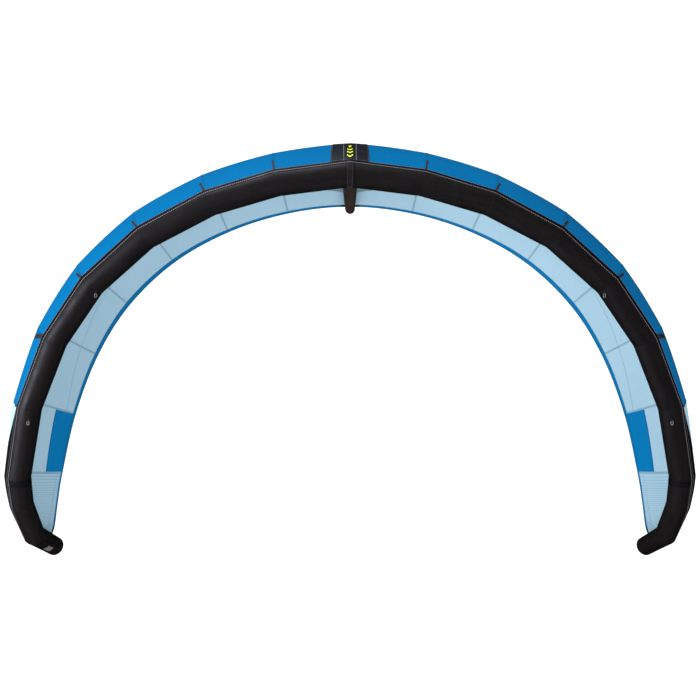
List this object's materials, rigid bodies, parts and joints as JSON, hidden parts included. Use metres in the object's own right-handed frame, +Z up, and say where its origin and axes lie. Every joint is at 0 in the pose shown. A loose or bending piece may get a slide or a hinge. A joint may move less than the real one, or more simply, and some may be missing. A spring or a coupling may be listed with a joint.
{
  "type": "inflatable kitesurfing kite",
  "caption": "Arched inflatable kitesurfing kite: black tube leading edge with canted segments, one centre strut, two-tone blue canopy, wingtips, line loops and an inflation valve.",
  "frame": {"origin": "middle of the leading-edge tube, on its axis and in the plane of symmetry", "axes": "+X across the kite, its longest way, towards the viewer's right in the picture; -Y forward, the way the leading edge faces; +Y towards the trailing edge; +Z up"},
  "size_m": [4.453, 1.6903, 2.6956],
  "materials": {
    "sleeve_cloth": "matt woven polyester",
    "blue_cloth": "satin ripstop",
    "pale_blue_cloth": "satin ripstop",
    "binding_cloth": "satin ripstop, folded",
    "patch_cloth": "matt woven polyester",
    "bladder_film": "soft clear film",
    "valve_plastic": "moulded",
    "loop_cord": "braided cord"
  },
  "bodies": {
    "kite": {"canopy_front_centre": "blue_cloth", "canopy_front_left_2": "blue_cloth", "canopy_front_left_3": "blue_cloth", "canopy_front_left_4": "blue_cloth", "canopy_front_left_5": "blue_cloth", "canopy_front_left_6": "blue_cloth", "canopy_front_right_2": "blue_cloth", "canopy_front_right_3": "blue_cloth", "canopy_front_right_4": "blue_cloth", "canopy_front_right_5": "blue_cloth", "canopy_front_right_6": "blue_cloth", "canopy_rear_centre": "pale_blue_cloth", "canopy_rear_left_2": "pale_blue_cloth", "canopy_rear_left_3": "pale_blue_cloth", "canopy_rear_left_4": "pale_blue_cloth", "canopy_rear_left_5": "pale_blue_cloth", "canopy_rear_left_6": "pale_blue_cloth", "canopy_rear_left_7": "pale_blue_cloth", "canopy_rear_left_8": "pale_blue_cloth", "canopy_rear_right_2": "pale_blue_cloth", "canopy_rear_right_3": "pale_blue_cloth", "canopy_rear_right_4": "pale_blue_cloth", "canopy_rear_right_5": "pale_blue_cloth", "canopy_rear_right_6": "pale_blue_cloth", "canopy_rear_right_7": "pale_blue_cloth", "canopy_rear_right_8": "pale_blue_cloth", "centre_patch": "patch_cloth", "inset_panel_left": "blue_cloth", "inset_panel_right": "blue_cloth", "leading_edge_bladder": "bladder_film", "sleeve_left_1": "sleeve_cloth", "sleeve_left_2": "sleeve_cloth", "sleeve_left_3": "sleeve_cloth", "sleeve_left_4": "sleeve_cloth", "sleeve_left_5": "sleeve_cloth", "sleeve_left_6": "sleeve_cloth", "sleeve_left_7": "sleeve_cloth", "sleeve_left_8": "sleeve_cloth", "sleeve_left_9": "sleeve_cloth", "sleeve_right_1": "sleeve_cloth", "sleeve_right_2": "sleeve_cloth", "sleeve_right_3": "sleeve_cloth", "sleeve_right_4": "sleeve_cloth", "sleeve_right_5": "sleeve_cloth", "sleeve_right_6": "sleeve_cloth", "sleeve_right_7": "sleeve_cloth", "sleeve_right_8": "sleeve_cloth", "sleeve_right_9": "sleeve_cloth", "strut_bladder": "bladder_film", "strut_sleeve": "sleeve_cloth", "trailing_edge_binding": "binding_cloth", "valve_base": "valve_plastic"},
    "insert": {"valve_insert": "valve_plastic"},
    "cap": {"valve_cap": "valve_plastic"},
    "bridle_loop_left_inner": {"bridle_loop_left_inner": "loop_cord"},
    "bridle_loop_left_outer": {"bridle_loop_left_outer": "loop_cord"},
    "rear_line_loop_left": {"rear_line_loop_left": "loop_cord"},
    "bridle_loop_right_inner": {"bridle_loop_right_inner": "loop_cord"},
    "bridle_loop_right_outer": {"bridle_loop_right_outer": "loop_cord"},
    "rear_line_loop_right": {"rear_line_loop_right": "loop_cord"}
  },
  "joints": [
    {"name": "valve_insert_turn", "type": "hinge", "parent": "kite", "child": "insert", "pos_m": [-0.23722, 0.08755, -0.06184], "axis": [0.0756, 0.9037, -0.4215], "range_deg": [0, 90]},
    {"name": "valve_cap_hinge", "type": "hinge", "parent": "insert", "child": "cap", "pos_m": [-0.23494, 0.09138, -0.07954], "axis": [-0.9922, 0.0262, -0.1218], "range_deg": [0, 150]},
    {"name": "bridle_loop_left_inner_swing", "type": "hinge", "parent": "kite", "child": "bridle_loop_left_inner", "pos_m": [-1.55811, 0.09501, -0.72832], "axis": [0.7794, 0.6266, 0], "range_deg": [-140, 26]},
    {"name": "bridle_loop_left_outer_swing", "type": "hinge", "parent": "kite", "child": "bridle_loop_left_outer", "pos_m": [-2.01876, 0.27915, -1.52109], "axis": [0.9634, 0.2682, 0], "range_deg": [-150, 12]},
    {"name": "rear_line_loop_left_swing", "type": "hinge", "parent": "kite", "child": "rear_line_loop_left", "pos_m": [-2.06656, 0.9251, -2.40995], "axis": [-0.2516, -0.9678, 0], "range_deg": [-140, 0]},
    {"name": "bridle_loop_right_inner_swing", "type": "hinge", "parent": "kite", "child": "bridle_loop_right_inner", "pos_m": [1.55811, 0.09501, -0.72832], "axis": [0.7794, -0.6266, 0], "range_deg": [-140, 26]},
    {"name": "bridle_loop_right_outer_swing", "type": "hinge", "parent": "kite", "child": "bridle_loop_right_outer", "pos_m": [2.01876, 0.27915, -1.52109], "axis": [0.9634, -0.2682, 0], "range_deg": [-150, 12]},
    {"name": "rear_line_loop_right_swing", "type": "hinge", "parent": "kite", "child": "rear_line_loop_right", "pos_m": [2.06656, 0.9251, -2.40995], "axis": [-0.2516, 0.9678, 0], "range_deg": [-140, 0]}
  ]
}
